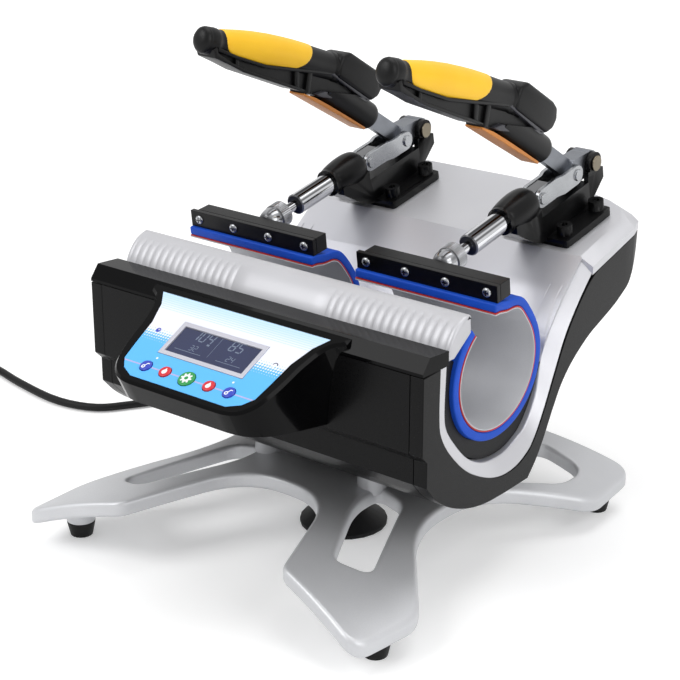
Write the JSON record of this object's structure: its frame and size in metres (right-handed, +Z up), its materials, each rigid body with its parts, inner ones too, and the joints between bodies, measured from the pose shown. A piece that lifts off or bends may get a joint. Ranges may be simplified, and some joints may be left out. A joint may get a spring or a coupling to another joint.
{
  "type": "double mug heat press",
  "caption": "Bench press with wrap-round heating mats for mugs, each clamped by a toggle handle, with a sloped control panel on a cast stand.",
  "frame": {"origin": "middle of the press's plan box, on the worktop under the feet; the free cord, its coil and the plug are not counted", "axes": "+Z up, +Y to the rear, so the panel faces -Y; +X to the operator's right, along the row of mats"},
  "size_m": [0.7563, 0.4044, 0.3841],
  "materials": {
    "cast_base": "silver hammered paint, satin",
    "silver_paint": "silver metallic paint, satin",
    "black_shell": "black powder coat, low gloss",
    "dark_plate": "black paint, matt",
    "gloss_hood": "black, glossy",
    "panel_print": "printed film, white to sky blue, satin",
    "display_frame": "light grey, satin",
    "display_glass": "dark tinted, glossy",
    "key_green": "green, domed film",
    "key_red": "red, domed film",
    "key_blue": "blue, domed film",
    "black_plastic": "black, fine grain",
    "red_plastic": "red, glossy",
    "yellow_plastic": "yellow, satin",
    "orange_plastic": "orange, satin",
    "blue_silicone": "blue silicone, matt",
    "red_liner": "red silicone, matt",
    "grey_silicone": "grey silicone, matt",
    "black_steel": "black powder coat, satin",
    "zinc": "zinc plated, brushed",
    "chrome": "bright plated",
    "black_rubber": "black, matt"
  },
  "bodies": {
    "stand_body": {"panel_overlay": "panel_print", "display_frame": "display_frame", "display_glass": "display_glass", "power_switch": "black_plastic", "fuse_holder": "black_plastic", "strain_relief": "black_rubber", "base_casting": "cast_base", "foot_front_left": "black_rubber", "foot_rear_left": "black_rubber", "foot_front_right": "black_rubber", "foot_rear_right": "black_rubber", "suction_cup": "black_rubber", "lower_housing": "black_shell", "rear_shell": "silver_paint", "side_cover_left": "black_shell", "side_cover_right": "black_shell", "end_trim_left": "silver_paint", "end_trim_right": "silver_paint", "end_plate_left": "dark_plate", "end_plate_right": "dark_plate", "front_cover": "silver_paint", "console_hood": "gloss_hood", "clamp_bracket_left": "black_steel", "pivot_pin_left": "zinc", "mat_jacket_left": "blue_silicone", "mat_liner_left": "red_liner", "mat_inner_left": "grey_silicone", "clamp_bracket_right": "black_steel", "pivot_pin_right": "zinc", "mat_jacket_right": "blue_silicone", "mat_liner_right": "red_liner", "mat_inner_right": "grey_silicone", "power_cord": "black_rubber", "cord_coil": "black_rubber", "plug": "black_rubber"},
    "handle_left_body": {"lever_left": "zinc", "handle_left": "black_plastic", "grip_left": "yellow_plastic", "grip_strip_left": "orange_plastic"},
    "link_left_body": {"link_left": "zinc"},
    "plunger_left_body": {"plunger_left": "chrome", "knurled_nut_left": "chrome", "bar_block_left": "black_steel", "bar_strip_left": "black_steel"},
    "handle_right_body": {"lever_right": "zinc", "handle_right": "black_plastic", "grip_right": "yellow_plastic", "grip_strip_right": "orange_plastic"},
    "link_right_body": {"link_right": "zinc"},
    "plunger_right_body": {"plunger_right": "chrome", "knurled_nut_right": "chrome", "bar_block_right": "black_steel", "bar_strip_right": "black_steel"},
    "key_middle_body": {"key_middle": "key_green"},
    "key_left_inner_body": {"key_left_inner": "key_red"},
    "key_right_inner_body": {"key_right_inner": "key_red"},
    "key_left_outer_body": {"key_left_outer": "key_blue"},
    "key_right_outer_body": {"key_right_outer": "key_blue"},
    "rocker_body": {"power_rocker": "red_plastic"}
  },
  "joints": [
    {"name": "handle_left_swing", "type": "hinge", "parent": "stand_body", "child": "handle_left_body", "pos_m": [-0.08165, 0.1766, 0.26046], "axis": [-1, 0, 0], "range_deg": [0, 90]},
    {"name": "link_left_turn", "type": "hinge", "parent": "handle_left_body", "child": "link_left_body", "pos_m": [-0.08165, 0.15306, 0.25576], "axis": [-1, 0, 0], "range_deg": [-126.5, 0]},
    {"name": "plunger_left_slide", "type": "slide", "parent": "stand_body", "child": "plunger_left_body", "axis": [0, 0.9806, 0.1959], "range_m": [0, 0.0285]},
    {"name": "handle_right_swing", "type": "hinge", "parent": "stand_body", "child": "handle_right_body", "pos_m": [0.08165, 0.1766, 0.26046], "axis": [-1, 0, 0], "range_deg": [0, 90]},
    {"name": "link_right_turn", "type": "hinge", "parent": "handle_right_body", "child": "link_right_body", "pos_m": [0.08165, 0.15306, 0.25576], "axis": [-1, 0, 0], "range_deg": [-126.5, 0]},
    {"name": "plunger_right_slide", "type": "slide", "parent": "stand_body", "child": "plunger_right_body", "axis": [0, 0.9806, 0.1959], "range_m": [0, 0.0285]},
    {"name": "key_middle_press", "type": "slide", "parent": "stand_body", "child": "key_middle_body", "axis": [0, 0.4446, -0.8957], "range_m": [0, 0.0005], "stiffness_N_per_m": 1000},
    {"name": "key_left_inner_press", "type": "slide", "parent": "stand_body", "child": "key_left_inner_body", "axis": [0, 0.4446, -0.8957], "range_m": [0, 0.0005], "stiffness_N_per_m": 1000},
    {"name": "key_right_inner_press", "type": "slide", "parent": "stand_body", "child": "key_right_inner_body", "axis": [0, 0.4446, -0.8957], "range_m": [0, 0.0005], "stiffness_N_per_m": 1000},
    {"name": "key_left_outer_press", "type": "slide", "parent": "stand_body", "child": "key_left_outer_body", "axis": [0, 0.4446, -0.8957], "range_m": [0, 0.0005], "stiffness_N_per_m": 1000},
    {"name": "key_right_outer_press", "type": "slide", "parent": "stand_body", "child": "key_right_outer_body", "axis": [0, 0.4446, -0.8957], "range_m": [0, 0.0005], "stiffness_N_per_m": 1000},
    {"name": "rocker_tilt", "type": "hinge", "parent": "stand_body", "child": "rocker_body", "pos_m": [0.06, 0.05996, 0.11812], "axis": [-1, 0, 0], "range_deg": [0, 16]}
  ],
  "couplings": [
    {"joint": "link_left_turn", "follows": "handle_left_swing", "ratio": -1.4},
    {"joint": "plunger_left_slide", "follows": "handle_left_swing", "m_per_rad": 0.0178},
    {"joint": "link_right_turn", "follows": "handle_right_swing", "ratio": -1.4},
    {"joint": "plunger_right_slide", "follows": "handle_right_swing", "m_per_rad": 0.0178}
  ]
}
